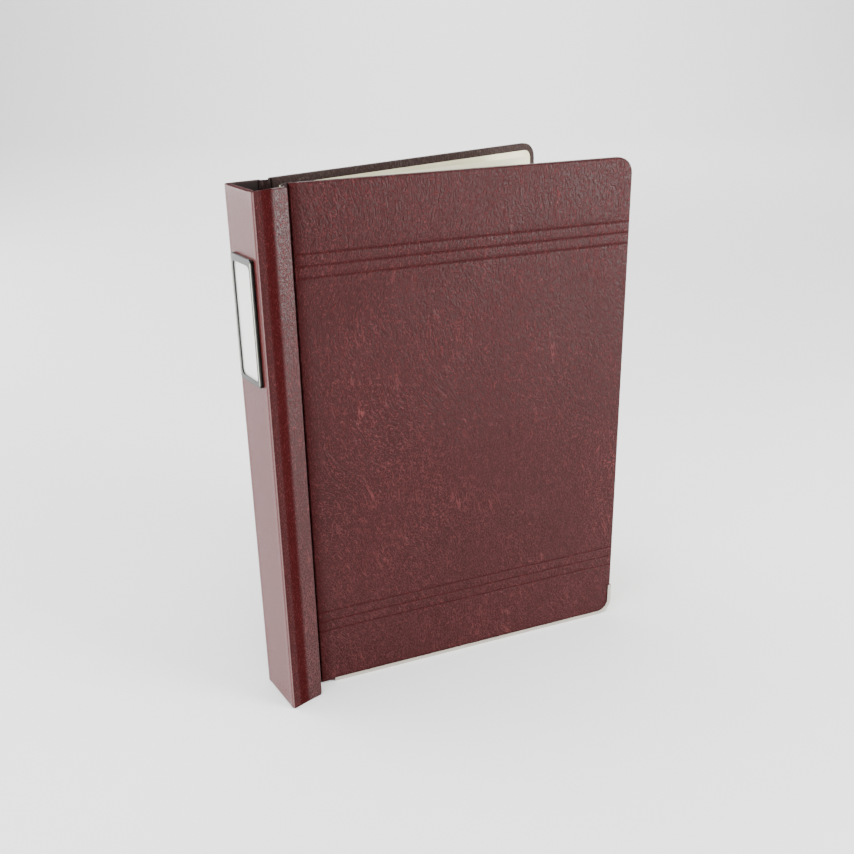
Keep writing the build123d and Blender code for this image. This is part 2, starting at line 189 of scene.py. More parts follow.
def leatherette(
    name, stroke=0.42, droop=0.9, sway=0.016, depth=0.0005, crease=0.6, roughness=0.40, scale=900, gloss=0.14,
    shades=BURGUNDY, matt=None,
):
    """Coated cloth with an embossed grain: short raised strokes along the hide's flow, and longer creases.

    A smaller stroke value draws longer strokes. Droop and sway bend the flow. Where matt is given, it is the
    roughness where the polish attribute is low, and there the strokes' painted highlight is dimmer, a painted
    shade.
    """
    finish, tree, shader = new_finish(name, Roughness=roughness, Specular_IOR_Level=gloss)

    def plus(first, second):
        return arithmetic(tree, "ADD", first, second)

    def minus(first, second):
        return arithmetic(tree, "SUBTRACT", first, second)

    def times(first, second):
        return arithmetic(tree, "MULTIPLY", first, second)

    at = put(tree, "TexCoord").outputs["Object"]
    apart = put(tree, "SeparateXYZ", {"Vector": at}).outputs
    below = arithmetic(tree, "MAXIMUM", minus(GRAIN_LEANS_BELOW, apart["Z"]), 0.0)
    fall = times(times(below, below), droop)
    drift = times(minus(speckle(tree, at, 9, 1), 0.5), sway * 4)
    across = plus(minus(apart["X"], fall), drift)

    def along_flow(lengthen):
        up = times(apart["Z"], lengthen)
        return put(tree, "CombineXYZ", {"X": across, "Y": apart["Y"], "Z": up}).outputs[0]

    def ridges(where, size, detail, width):
        cloud = speckle(tree, where, size, detail, 0.6)
        from_ridge = arithmetic(tree, "ABSOLUTE", minus(cloud, 0.5))
        return cloud, between(tree, from_ridge, 0.0, width, 1.0, 0.0)

    cloud, strokes = ridges(along_flow(stroke), scale, 1, STROKE_EDGE)
    _, long_lines = ridges(along_flow(stroke * 0.3), CREASE_SCALE, 2, CREASE_EDGE)
    patches = between(tree, speckle(tree, at, 30, 2), 0.42, 0.66)
    lines = times(times(long_lines, patches), 0.75)
    height = plus(times(strokes, 0.5), times(cloud, 0.9))
    height = plus(height, times(lines, crease))
    height = plus(height, times(speckle(tree, at, DUST_SCALE, 2), 0.15))
    emboss(tree, shader, height, depth)
    # The raised strokes and creases are tinted paler: a painted highlight, standing for gloss on the grain's
    # ridges.
    painted_ridge_highlight = arithmetic(tree, "MAXIMUM", times(strokes, 0.7), lines)
    if matt:
        polish_and_painted_sheen = put(tree, "Attribute", attribute_name="polish_and_painted_sheen").outputs["Fac"]
        tree.links.new(between(tree, polish_and_painted_sheen, 0.0, 1.0, matt, roughness), shader.inputs["Roughness"])
        shine = between(tree, polish_and_painted_sheen, 0.0, 1.0, MATT_GLOSS, gloss)
        tree.links.new(shine, shader.inputs["Specular IOR Level"])
        painted_ridge_highlight = times(painted_ridge_highlight, between(tree, polish_and_painted_sheen, 0.0, 1.0, 0.45, 1.0))
    patchy = times(speckle(tree, at, 16, 3), 0.12)
    tree.links.new(tint(tree, plus(painted_ridge_highlight, patchy), *shades), shader.inputs["Base Color"])
    return finish


def spread(low, high, count):
    """Evenly spaced values, both ends among them."""
    return [low + (high - low) * i / (count - 1) for i in range(count)]


def panel(point, side, angle):
    """Turns a place on a panel (along it, inwards through it, and up) into a place in the frame."""
    turn = radians(angle) * INWARD[side]

    def spot(along, inward, up):
        x = along * cos(turn) - INWARD[side] * inward * sin(turn)
        y = along * sin(turn) + INWARD[side] * inward * cos(turn)
        return Vector((point[0] + x * MM, point[1] + y * MM, up * MM))

    return spot


RIM_STEPS = 4
INNER_RIM = 0.6
INNER_STEPS = 3
STEP_SLOPE = 0.02
CORNER_STEPS = 6


class Wrapped:
    """A board-shaped skin with rounded rims: rows up the panel, a rim wound round its edge, and a back."""

    def __init__(self, u0, u1, z0, z1, corner, rim, columns, rows, open_sides=()):
        self.limits, self.corner, self.rim = (u0, u1, z0, z1), corner, rim
        self.shut = [0 if "near" in open_sides else 1, 0 if "far" in open_sides else 1]
        turns = [pi / 2 * i / CORNER_STEPS for i in range(1, CORNER_STEPS + 1)] if corner else []
        straight = sorted({z0 + corner, z1 - corner, *rows})
        self.rows = [(-turn, None) for turn in reversed(turns)]
        self.rows += [(None, z) for z in straight]
        self.rows += [(turn, None) for turn in turns]
        self.columns = columns
        if not corner:
            self.rows[0], self.rows[-1] = (None, z0), (None, z1)

    def grid(self, inset):
        """The panel's face, drawn in by a distance all round its closed sides."""
        u0, u1, z0, z1 = self.limits
        near, far = u0 + inset * self.shut[0], u1 - inset * self.shut[1]
        bend = self.corner - inset
        sharp = not self.corner
        low, high = z0 + inset, z1 - inset
        rim_low, rim_high = z0 + self.rim, z1 - self.rim
        grid = []
        for turn, z in self.rows:
            right = far
            if turn is not None:
                right = far - bend + bend * cos(turn)
                z = (z1 - self.corner if turn > 0 else z0 + self.corner) + bend * sin(turn)
            elif sharp:
                z = low + (min(max(z, rim_low), rim_high) - rim_low) * (high - low) / (rim_high - rim_low)
            grid.append([(near + (right - near) * share, z) for share in self.columns])
        return grid

    def build(self, name, spot, outer, inner, lap, step, relief):
        """The closed mesh: outer face, rim, turned-in lap, a step down to the board, and a closing back."""
        wide, tall = len(self.columns), len(self.rows)
        ring = [(0, i) for i in range(wide)] + [(j, wide - 1) for j in range(1, tall)]
        ring += [(tall - 1, i) for i in range(wide - 2, -1, -1)] + [(j, 0) for j in range(tall - 2, 0, -1)]
        face = self.grid(self.rim)
        points = [spot(u, outer + relief(u, z), z) for row in face for u, z in row]
        quads = []
        for j in range(tall - 1):
            for i in range(wide - 1):
                a = j * wide + i
                quads.append((a, a + 1, a + wide + 1, a + wide))
        steps = []
        for i in range(1, RIM_STEPS + 1):
            turn = pi / 2 * i / RIM_STEPS
            steps.append((self.rim * (1 - sin(turn)), outer + self.rim * (1 - cos(turn)), 1 - sin(turn)))
        inner_rim = min(self.rim, INNER_RIM)
        for i in range(INNER_STEPS + 1):
            turn = pi / 2 * i / INNER_STEPS
            steps.append((inner_rim * (1 - cos(turn)), inner - inner_rim * (1 - sin(turn)), 0))
        steps.append((lap, inner, 0))
        steps.append((lap + STEP_SLOPE, inner - step, 0))
        last = [j * wide + i for j, i in ring]
        count = len(ring)
        for inset, depth, share in steps:
            drawn = self.grid(inset)
            first = len(points)
            for j, i in ring:
                u, z = drawn[j][i]
                fu, fz = face[j][i]
                points.append(spot(u, depth + relief(fu, fz) * share, z))
            for k in range(count):
                n = (k + 1) % count
                quads.append((last[n], last[k], first + k, first + n))
            last = [first + k for k in range(count)]
        back = self.grid(lap + STEP_SLOPE)
        index = {place: last[k] for k, place in enumerate(ring)}
        for j in range(1, tall - 1):
            for i in range(1, wide - 1):
                index[j, i] = len(points)
                u, z = back[j][i]
                points.append(spot(u, inner - step, z))
        for j in range(tall - 1):
            for i in range(wide - 1):
                quads.append((index[j, i], index[j + 1, i], index[j + 1, i + 1], index[j, i + 1]))
        return make_mesh(name, points, quads)


def make_mesh(name, points, faces, smooth=35):
    """A mesh object from points in metres, smooth except over sharp edges, its faces turned outwards."""
    mesh = bpy.data.meshes.new(name)
    mesh.from_pydata([tuple(p) for p in points], [], faces)
    mesh.validate()
    work = bmesh.new()
    work.from_mesh(mesh)
    bmesh.ops.recalc_face_normals(work, faces=work.faces)
    work.to_mesh(mesh)
    work.free()
    for polygon in mesh.polygons:
        polygon.use_smooth = True
    mesh.set_sharp_from_angle(angle=radians(smooth))
    piece = bpy.data.objects.new(name, mesh)
    bpy.context.scene.collection.objects.link(piece)
    return piece


def finish_piece(piece, finish, slot, *nodes):
    """Give a piece its material, and hide the CAD nodes that it stands for. The slot is not used."""
    piece.data.materials.append(finish)
    if nodes:
        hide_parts(*nodes)
    return piece


def waves(u, z, seed, swell):
    """The slow unevenness that glue and board leave in a stretched skin, in millimetres."""
    broad = noise.noise(Vector((u / 55, z / 70, seed)))
    fine = noise.noise(Vector((u / 17, z / 26, seed + 9)))
    return swell * (broad + 0.35 * fine)


spine_low, spine_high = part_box("spine_leatherette")
smooth_grain = {"stroke": 0.5, "droop": 0, "sway": 0.004, "crease": 0.2, "scale": 1000}
spine_sheen_skin = leatherette(
    "spine_leatherette_painted_sheen", depth=0.00012, roughness=0.34, gloss=0.40, shades=SPINE_SHEEN_BURGUNDY, **smooth_grain
)
rim_skin = leatherette("spine_rim_skin", depth=0.0001, roughness=0.6, gloss=0.06, **smooth_grain)


def spine_spot(along, inward, up):
    """A place on the spine: along its width from its front side, in through its board, and up."""
    return Vector((spine_low.x + inward * MM, spine_low.y + along * MM, up * MM))


SPINE_RIM = 1.0
SPINE_LAP = 0.6
STEP_DOWN = 0.31
FACES_UP = 0.4
spine_width = (spine_high.y - spine_low.y) / MM
spine_height = (spine_high.z - spine_low.z) / MM
spine_depth = (spine_high.x - spine_low.x) / MM
wrap = Wrapped(
    0, spine_width, 0, spine_height, 0, SPINE_RIM,
    spread(0, 1, 14), spread(0, spine_height, 50), ("near", "far"),
)
spine = wrap.build(
    "spine_covering", spine_spot, 0, spine_depth, SPINE_LAP, STEP_DOWN,
    lambda u, z: 0.06 + 0.5 * waves(u, z, 3, 0.12),
)
finish_piece(spine, spine_sheen_skin, "leatherette", "spine_leatherette")
spine.data.materials.append(rim_skin)
for polygon in spine.data.polygons:
    polygon.material_index = int(abs(polygon.normal.z) > FACES_UP)
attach(spine, "spine")


# Flanges. The stiff strips beside the spine: board 2 mm thick, wrapped on the outside and round three edges.
# Each is pressed a little hollow beside its fold, and its free edge stands crisp in front of the joint.
FLANGE_LEAN = {"front": 10.5, "back": -3.0}
FLANGE_RUN = (1.9, 20.4)
FLANGE_FACES = (-1.6, 1.3)
FLANGE_CORNER = 1.8
FLANGE_RIM = 0.7
FLANGE_HOLLOW = 1.05
HOLLOW_DEEPEST = 0.48
FOLD_POLISH_AND_SHEEN = 0.4
FLANGE_LAP = 0.72
INNER_FACE = 0.35
# Turned-in cloth and inner faces are coloured dull brown instead of burgundy: painted shade for the inside of
# the album.
TURN_IN_SHADE = ((0.026, 0.014, 0.013), (0.085, 0.062, 0.056))
flange_skin = leatherette(
    "flange_leatherette_skin", droop=0, sway=0.006, depth=0.00034, crease=0.4,
    roughness=0.38, gloss=0.26, matt=0.85,
)
shaded_turn_in_skin = leatherette("turned_in_leatherette_painted_shade", roughness=0.7, gloss=0.1, shades=TURN_IN_SHADE)
joint_at = {joint["name"]: Vector(joint["pos_m"]) for joint in frame["joints"] if "pos_m" in joint}
flange_spot = {}


def fade(value, low, high):
    """A smooth step from 0 at low to 1 at high."""
    share = min(max((value - low) / (high - low), 0), 1)
    return share * share * (3 - 2 * share)


def along(spot, place):
    """How far a place is along a panel from its joint, in millimetres."""
    start = spot(0, 0, 0)
    return (place - start).dot(spot(1, 0, 0) - start) / MM**2


def through(spot, place):
    """How far a place is inwards through a panel from its joint's axis, in millimetres."""
    start = spot(0, 0, 0)
    return (place - start).dot(spot(0, 1, 0) - start) / MM**2


def polish_and_sheen_by(piece, share):
    """Record at each point how glossy the cloth is and how strong its painted highlight is, from 0 to 1; low
    values paint shade.
    """
    polish_and_painted_sheen = piece.data.attributes.new("polish_and_painted_sheen", "FLOAT", "POINT")
    for point, value in zip(piece.data.vertices, polish_and_painted_sheen.data):
        value.value = share(point.co)


def flange_polish_and_sheen(side, place):
    """A flange is glossy towards its free edge and a little beside its fold, with a painted sheen there; its
    middle is matt, with painted shade.
    """
    u = along(flange_spot[side], place)
    return max(FOLD_POLISH_AND_SHEEN * (1 - fade(u, 1.5, 6.5)), fade(u, 8.5, 13.0))


for number, side in enumerate(sides):
    flange_spot[side] = panel(joint_at[f"{side}_flange_fold"], side, FLANGE_LEAN[side])
    start, end = FLANGE_RUN

    def hollow(u, z, start=start, end=end, seed=number * 20):
        share = min(max((u - start) / (end - start), 0), 1)
        if share < HOLLOW_DEEPEST:
            dip = sin(pi / 2 * share / HOLLOW_DEEPEST) ** 1.3
        else:
            dip = 1 - ((share - HOLLOW_DEEPEST) / (1 - HOLLOW_DEEPEST)) ** 1.15
        return FLANGE_HOLLOW * dip + waves(u, z, seed, 0.06)

    rows = spread(FLANGE_CORNER, HEIGHT - FLANGE_CORNER, 60)
    wrap = Wrapped(start, end, 0, HEIGHT, FLANGE_CORNER, FLANGE_RIM, spread(0, 1, 22), rows, ("near",))
    piece = wrap.build(
        f"{side}_flange_covering", flange_spot[side], *FLANGE_FACES, FLANGE_LAP, STEP_DOWN, hollow
    )
    finish_piece(piece, flange_skin, "leatherette", f"{side}_flange_leatherette", f"{side}_flange_board")
    piece.data.materials.append(shaded_turn_in_skin)
    for polygon in piece.data.polygons:
        inside = through(flange_spot[side], polygon.center) > FLANGE_FACES[1] - INNER_FACE
        polygon.material_index = int(inside)
    polish_and_sheen_by(piece, lambda place: flange_polish_and_sheen(side, place))
    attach(piece, f"{side}_flange")


# Spine folds. The same leatherette runs on from the spine round each long corner to the flange.
# It is one soft roll that hinges the flange.
FOLD_ROLL = 1.65
FOLD_SHEET = 1.25
FOLD_LAP = 3.4
FOLD_TUCK = 0.17
FOLD_RIM = 0.75
# Segments 10 to 13 of each roll, along the corner, are coloured pale: a painted highlight.
ROLL_HIGHLIGHT = (10, 14)
CORNER_HIGHLIGHT = ((0.15, 0.080, 0.080), (0.22, 0.13, 0.13))
corner_highlight_skin = leatherette(
    "corner_painted_highlight_skin", depth=0.0001, roughness=0.5, gloss=0.3, shades=CORNER_HIGHLIGHT, **smooth_grain
)
for side in sides:
    at = joint_at[f"{side}_flange_fold"]
    lean = FLANGE_LEAN[side]
    route = []
    for share in spread(0, 1, 6)[:-1]:
        tuck = FOLD_TUCK * (1 - share) ** 2
        route.append((Vector((tuck - FOLD_ROLL, FOLD_LAP * (1 - share))), Vector((1, 0))))
    for share in spread(0, 1, 15):
        turn = radians(180 + share * (90 + lean))
        out = Vector((cos(turn), sin(turn)))
        route.append((out * FOLD_ROLL, -out))
    run = Vector((cos(radians(lean)), sin(radians(lean))))
    out = Vector((run.y, -run.x))
    for share in spread(0, 1, 6)[1:]:
        tuck = FOLD_TUCK * share**2
        route.append((run * FOLD_LAP * share + out * (FOLD_ROLL - tuck), -out))

    def up_the_fold(height):
        """The roll's section from its inner foot, round its lower rim, up, and round its upper rim."""
        lower = [(FOLD_SHEET, 2.0), (FOLD_SHEET, 0.0)]
        lower += [(FOLD_RIM * (1 - sin(a)), FOLD_RIM * (1 - cos(a))) for a in (0.0, pi / 6, pi / 3, pi / 2)]
        upper = [(inset, height - up) for inset, up in reversed(lower)]
        return lower + [(0.0, z) for z in spread(FOLD_RIM, height - FOLD_RIM, 40)[1:-1]] + upper

    section = up_the_fold(HEIGHT)
    points, faces = [], []
    for place, inward in route:
        for inset, up in section:
            x, y = place + inward * inset
            points.append(Vector((at.x + x * MM, at.y + INWARD[side] * y * MM, up * MM)))
    tall = len(section)
    for i in range(len(route) - 1):
        for j in range(tall):
            a, b = i * tall + j, i * tall + (j + 1) % tall
            faces.append((a, b, b + tall, a + tall))
    faces += [tuple(range(tall)), tuple(range(len(points) - tall, len(points)))]
    roll = make_mesh(f"{side}_spine_roll", points, faces, 60)
    roll.data.materials.append(spine_sheen_skin)
    roll.data.materials.append(corner_highlight_skin)
    finish_piece(roll, flange_skin, "leatherette", f"{side}_spine_fold")
    for polygon in roll.data.polygons:
        if polygon.index < (len(route) - 1) * tall and abs(polygon.normal.z) < FACES_UP:
            polygon.material_index = sum(polygon.index // tall >= change for change in ROLL_HIGHLIGHT)
        else:
            polygon.material_index = 2
    polish_and_sheen_by(roll, lambda place: FOLD_POLISH_AND_SHEEN)
    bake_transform(roll)


# Covers. Board 2 mm thick under 1 mm of padding, wrapped in leatherette that turns in 4.5 mm on the inside.
# Three blind lines are pressed across each cover near its top, and three near its bottom edge.
COVER_SPLAY = -10.0
COVER_RUN = (1.2, 216.63)
COVER_FACES = (-1.74, 2.46)
COVER_FOOT = 0.5
COVER_CORNER = 10.0
COVER_RIM = 1.25
COVER_SWELL = 0.16
EDGE_FALL = 0.15
TURN_IN = 4.5
LINE_FROM_EDGE = 39.0
LINE_PITCH = 6.8
LINE_DEPTH = 0.36
LINE_HALF = 0.8
COVER_STEP = 0.62
# Faces this far in take the dull brown turned-in skin, painted shade; on the back cover that takes in its top
# rim.
SHADE_PAINTED_FROM = {"front": INNER_FACE, "back": 2.2}
cover_skin = leatherette("cover_leatherette_skin", matt=0.7)
line_heights = [LINE_FROM_EDGE + LINE_PITCH * i for i in range(3)]
line_heights += [HEIGHT - z for z in line_heights]
line_rows = [z + step for z in line_heights for step in (-1.6, -1.0, -0.6, -0.3, 0, 0.3, 0.6, 1.0, 1.6)]


def blind_lines(u, z):
    """How deep the pressed lines are at a place on the cover. They fade out just before the rims."""
    ends = fade(u, COVER_RUN[0] + 0.5, COVER_RUN[0] + 4) * fade(u, COVER_RUN[1] - 0.8, COVER_RUN[1] - 3)
    near = min(abs(z - height) for height in line_heights)
    return LINE_DEPTH * ends * exp(-((near / LINE_HALF) ** 2))


def cover_polish_and_shade(side, place):
    """A cover is glossy all over except beside its joint and down in its pressed lines, where it is matt,
    with painted shade.
    """
    near = min(abs(place.z / MM - height) for height in line_heights)
    sheen_away_from_joint = 0.35 + 0.65 * fade(along(cover_spot[side], place), 3, 10)
    return sheen_away_from_joint * (1 - 0.6 * exp(-((near / LINE_HALF) ** 2)))


cover_spot = {}
for number, side in enumerate(sides):
    cover_spot[side] = panel(joint_at[f"{side}_cover_open"], side, COVER_SPLAY)
    start, end = COVER_RUN

    def cover_relief(u, z, start=start, end=end, seed=31 + 17 * number):
        edge = min(u - start, end - u, z - COVER_FOOT, HEIGHT - z)
        swell = waves(u, z, seed, COVER_SWELL) * fade(edge, 0, 12)
        return swell + EDGE_FALL * exp(-max(edge, 0) / 5) + blind_lines(u, z)

    wrap = Wrapped(
        start, end, COVER_FOOT, HEIGHT, COVER_CORNER, COVER_RIM, spread(0, 1, 58),
        [*spread(COVER_FOOT + COVER_CORNER, HEIGHT - COVER_CORNER, 76), *line_rows],
    )
    piece = wrap.build(
        f"{side}_cover_covering", cover_spot[side], *COVER_FACES, TURN_IN, COVER_STEP, cover_relief
    )
    finish_piece(piece, cover_skin, "leatherette", f"{side}_cover_leatherette", f"{side}_cover_padding")
    piece.data.materials.append(shaded_turn_in_skin)
    for polygon in piece.data.polygons:
        inside = through(cover_spot[side], polygon.center) > COVER_FACES[1] - SHADE_PAINTED_FROM[side]
        polygon.material_index = int(inside)
    polish_and_sheen_by(piece, lambda place: cover_polish_and_shade(side, place))
    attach(piece, f"{side}_cover")


# Endpapers. One sheet of heavy cream paper is pasted inside each cover, flush between the turned-in edges.
# It covers the turn-ins' raw edges, and its own edge shows as a fine line all round.
endpaper_finish = fibre_finish("endpaper_cream", (0.70, 0.67, 0.47), (0.63, 0.60, 0.40), 1400, 0.00003, 0.75)
PAPER_RIM = 0.12
PAPER_FACES = (-0.03, 0.5)
PAPER_LAP = 0.4
PAPER_STEP = 0.03
for side in sides:
    spot = cover_spot[side]
    wrap = Wrapped(
        COVER_RUN[0] + TURN_IN, COVER_RUN[1] - TURN_IN, COVER_FOOT + TURN_IN, HEIGHT - TURN_IN,
        COVER_CORNER - TURN_IN, PAPER_RIM, spread(0, 1, 30), spread(12, HEIGHT - 12, 40),
    )
    paper = wrap.build(
        f"{side}_pasted_endpaper", lambda u, v, z, spot=spot: spot(u, COVER_FACES[1] - v, z),
        *PAPER_FACES, PAPER_LAP, PAPER_STEP, lambda u, z: 0.05 + waves(u, z, 77, 0.05),
    )
    finish_piece(paper, endpaper_finish, "endpaper", f"{side}_endpaper")
    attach(paper, f"{side}_cover")


# Joint gussets. A loose strip of the same cloth joins each flange to its cover and folds inwards in a pleat.
# It is glued behind the flange and to the cover's near end.
GUSSET_SHEET = 0.7
GUSSET_FOOT = 0.3
GUSSET_TOP_GAP = 0.1
# The pleat is the same cloth, coloured dark brown as painted shade down in the joint.
GUSSET_SHADE_PAINTED = ((0.010, 0.003, 0.003), (0.055, 0.030, 0.028))
PLEATS = {
    "front": [
        (17.6, 1.70), (20.2, 1.95), (21.4, 4.2), (22.3, 7.0),
        (24.1, 8.9), (26.7, 9.3), (28.3, 9.15), (29.1, 8.9),
    ],
    "back": [
        (17.6, 1.70), (20.6, 1.9), (22.6, 2.7), (24.2, 2.0),
        (24.9, 0.1), (25.5, -1.8), (26.9, -2.35), (27.7, -2.45),
    ],
}


def smooth_line(knots, steps):
    """Points on a smooth line through the knots."""
    line = []
    padded = [knots[0], *knots, knots[-1]]
    for i in range(len(knots) - 1):
        a, b, c, d = (Vector(k) for k in padded[i : i + 4])
        for step in range(steps):
            t = step / steps
            curve = (2 * a - 5 * b + 4 * c - d) * t**2 + (3 * b - a - 3 * c + d) * t**3
            line.append(((2 * b) + (c - a) * t + curve) / 2)
    return line + [Vector(knots[-1])]


def strip(name, line, thick, spot, z0, z1, rows):
    """A standing strip of even thickness that follows a line in plan."""
    outline = []
    for hand in (1, -1):
        row = []
        for i, place in enumerate(line):
            along = (line[min(i + 1, len(line) - 1)] - line[max(i - 1, 0)]).normalized()
            row.append(place + Vector((-along.y, along.x)) * hand * thick / 2)
        outline += row if hand == 1 else row[::-1]
    heights = spread(z0, z1, rows)
    points = [spot(x, y, z) for z in heights for x, y in outline]
    wide = len(outline)
    faces = [
        (j * wide + i, j * wide + (i + 1) % wide, (j + 1) * wide + (i + 1) % wide, (j + 1) * wide + i)
        for j in range(rows - 1) for i in range(wide)
    ]
    half = wide // 2
    for base in (0, (rows - 1) * wide):
        faces += [(base + i, base + i + 1, base + wide - 2 - i, base + wide - 1 - i) for i in range(half - 1)]
    return make_mesh(name, points, faces, 40)


shaded_gusset_skin = leatherette(
    "gusset_leatherette_painted_shade", droop=0, sway=0.01, roughness=0.6, shades=GUSSET_SHADE_PAINTED
)
for side in sides:
    line = smooth_line(PLEATS[side], 6)
    pleat = strip(
        f"{side}_joint_pleat", line, GUSSET_SHEET, flange_spot[side], GUSSET_FOOT, HEIGHT - GUSSET_TOP_GAP, 24
    )
    finish_piece(pleat, shaded_gusset_skin, "leatherette", f"{side}_joint_gusset")
    onward = cover_spot[side](1, 0, 0) - cover_spot[side](0, 0, 0)
    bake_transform(pleat)


# Edge shoes. A thin channel of polished sheet metal, pressed over each cover's bottom edge and lower corner.
# Its lip shows as a narrow bright line, with fine scratches from standing on shelves.
def metal_finish(name, colour, roughness, drag, depth):
    """Polished or plated sheet: faint drawn lines along one axis, and patches that are a little duller."""
    finish, tree, shader = new_finish(name, Metallic=1.0, Specular_IOR_Level=0.5)
    where = places(tree, drag)
    drawn = speckle(tree, where, 900, 3, 0.6)
    dull = speckle(tree, places(tree), 120, 3, 0.5)
    shade = tint(tree, dull, tuple(c * 0.86 for c in colour), colour)
    tree.links.new(shade, shader.inputs["Base Color"])
    rough = between(tree, drawn, 0.3, 0.7, roughness * 0.75, roughness * 1.3)
    tree.links.new(rough, shader.inputs["Roughness"])
    emboss(tree, shader, drawn, depth)
    return finish


shoe_finish = metal_finish("shoe_metal_sheet", (0.50, 0.46, 0.40), 0.3, (0.1, 0.1, 1), 0.00001)
cover_with(shoe_finish, "front_edge_shoe", "back_edge_shoe")


# Label frame. A pressed and plated rim on four pins through the spine, open at the top for the card.
# Its plate is coloured dark, a painted reflection of dark surroundings, with a painted highlight along its
# two side lips. The card is plain white, and slides in behind it.
LIP_HIGHLIGHT_AT = 1.0
PLATE_DARK_REFLECTION = (0.040, 0.043, 0.040)
LIP_HIGHLIGHT_PLATE = (0.62, 0.58, 0.48)
reflection_painted_plate = metal_finish("plated_rim_painted_reflection", PLATE_DARK_REFLECTION, 0.16, (1, 1, 0.2), 0.000006)
rim_low, rim_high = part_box("label_frame")
tree = reflection_painted_plate.node_tree
reach = put(tree, "SeparateXYZ", {"Vector": put(tree, "TexCoord").outputs["Generated"]}).outputs


def from_rim(axis, size):
    """How far a point is in from the nearer edge of the label frame, in millimetres."""
    off_centre = arithmetic(tree, "ABSOLUTE", arithmetic(tree, "SUBTRACT", reach[axis], 0.5))
    return arithmetic(tree, "MULTIPLY", arithmetic(tree, "SUBTRACT", 0.5, off_centre), size / MM)


# A light band along each side lip, about 1 mm in from its edge, is a painted highlight; the rest of the plate
# is dark, a painted reflection.
from_side = from_rim("Y", rim_high.y - rim_low.y)
off_lip_highlight = arithmetic(tree, "ABSOLUTE", arithmetic(tree, "SUBTRACT", from_side, LIP_HIGHLIGHT_AT))
lip_highlight = between(tree, off_lip_highlight, 0.2, 0.5, 1.0, 0.0)
on_side = between(tree, from_rim("Z", rim_high.z - rim_low.z), 1.5, 2.5)
bright = arithmetic(tree, "MULTIPLY", lip_highlight, on_side)
shader = tree.nodes["Principled BSDF"]
tree.links.new(tint(tree, bright, PLATE_DARK_REFLECTION, LIP_HIGHLIGHT_PLATE), shader.inputs["Base Color"])
card_finish = fibre_finish("label_card_white", (0.93, 0.93, 0.91), (0.88, 0.88, 0.85), 1600, 0.00002, 0.6)
cover_with(reflection_painted_plate, "label_frame")
cover_with(card_finish, "label_card")


# Ring mechanism. An arched steel rail on two rivets; under it, two hinge plates carry four round-wire rings.
# A lever at each end turns on a pin and prises the plates up, which parts the rings.
rail_finish = metal_finish("rail_steel_sheet", (0.72, 0.72, 0.73), 0.24, (1, 1, 0.08), 0.00001)
wire_finish = metal_finish("ring_wire", (0.82, 0.81, 0.80), 0.14, (0.2, 1, 1), 0.000004)
cover_with(rail_finish, "ring_rail", "front_hinge_plate", "back_hinge_plate", "lever_pins")
cover_with(wire_finish, "front_half_rings", "back_half_rings", "rail_rivets", "top_lever", "bottom_lever")


# Leaves. A cream flyleaf, four clear pages with pockets for coins, and three card interleaves, threaded on
# the rings through four slots. They share one slight bow, so none touches its neighbour.
ring_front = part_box("front_half_rings")
ring_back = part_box("back_half_rings")
ring_reach = (ring_back[1].y - ring_front[0].y) / 2
ring_axis = Vector((ring_front[1].x - ring_reach, (ring_back[1].y + ring_front[0].y) / 2, 0))
WIRE = 2.6
RING_RADIUS = ring_reach / MM - WIRE / 2
LEAF_START = 2.0
LEAF_CORNER = 3.0
LEAF_BOW = 0.5
LEAF_OFFSET = 0.55
LEAF_DIRECTION = 5.0
LEAF_FAN = 0.2
LEAF_GAP = 0.45
SLOT = (4.6, 3.0)
RING_HEIGHTS = [HEIGHT * share for share in (0.125, 0.375, 0.625, 0.875)]


def leaf(name, offset, direction, width, margin, columns, rows, faces_at):
    """One slotted sheet: both faces, with walls round its outline and its slots."""
    first = RING_RADIUS * (1 - LEAF_OFFSET**2) ** 0.5 - WIRE
    slot_end = RING_RADIUS + SLOT[1]
    low, high = margin, HEIGHT - margin
    slots = [(z - SLOT[0] / 2, z + SLOT[0] / 2) for z in RING_HEIGHTS]
    cuts = [z for pair in slots for z in pair]
    corner = [LEAF_CORNER * share for share in (0, 0.04, 0.13, 0.3, 0.6, 1)]
    levels = {*cuts, *rows, *(low + c for c in corner), *(high - c for c in corner)}
    levels = [z for z in sorted(levels) if low <= z <= high]
    across = sorted({0, first - LEAF_START, slot_end - LEAF_START, *columns, width})
    turn = radians(direction)
    points, faces, index = [], [], {}
    for face in (0, 1):
        for j, z in enumerate(levels):
            short = 0.0
            edge = min(z - low, high - z)
            if edge < LEAF_CORNER:
                short = LEAF_CORNER - (LEAF_CORNER**2 - (LEAF_CORNER - edge) ** 2) ** 0.5
            for i, u in enumerate(across):
                reach = min(u, width - short * (1 if i == len(across) - 1 else 0.999))
                y = offset + faces_at(u, z)[face] + LEAF_BOW * sin(pi * u / width)
                x = LEAF_START + reach
                index[face, j, i] = len(points)
                place = Vector((x * cos(turn) - y * sin(turn), x * sin(turn) + y * cos(turn), 0)) * MM
                points.append(ring_axis + place + Vector((0, 0, z * MM)))
    edges = {}
    for j in range(len(levels) - 1):
        middle = (levels[j] + levels[j + 1]) / 2
        slotted = any(a < middle < b for a, b in slots)
        for i in range(len(across) - 1):
            u = LEAF_START + (across[i] + across[i + 1]) / 2
            if slotted and first < u < slot_end:
                continue
            loop = [(j, i), (j, i + 1), (j + 1, i + 1), (j + 1, i)]
            faces.append([index[0, *place] for place in loop])
            faces.append([index[1, *place] for place in reversed(loop)])
            for a, b in zip(loop, loop[1:] + loop[:1]):
                key = frozenset((a, b))
                edges[key] = None if key in edges else (a, b)
    for pair in edges.values():
        if pair:
            a, b = pair
            faces.append([index[0, *b], index[0, *a], index[1, *a], index[1, *b]])
    return make_mesh(name, points, faces, 50)


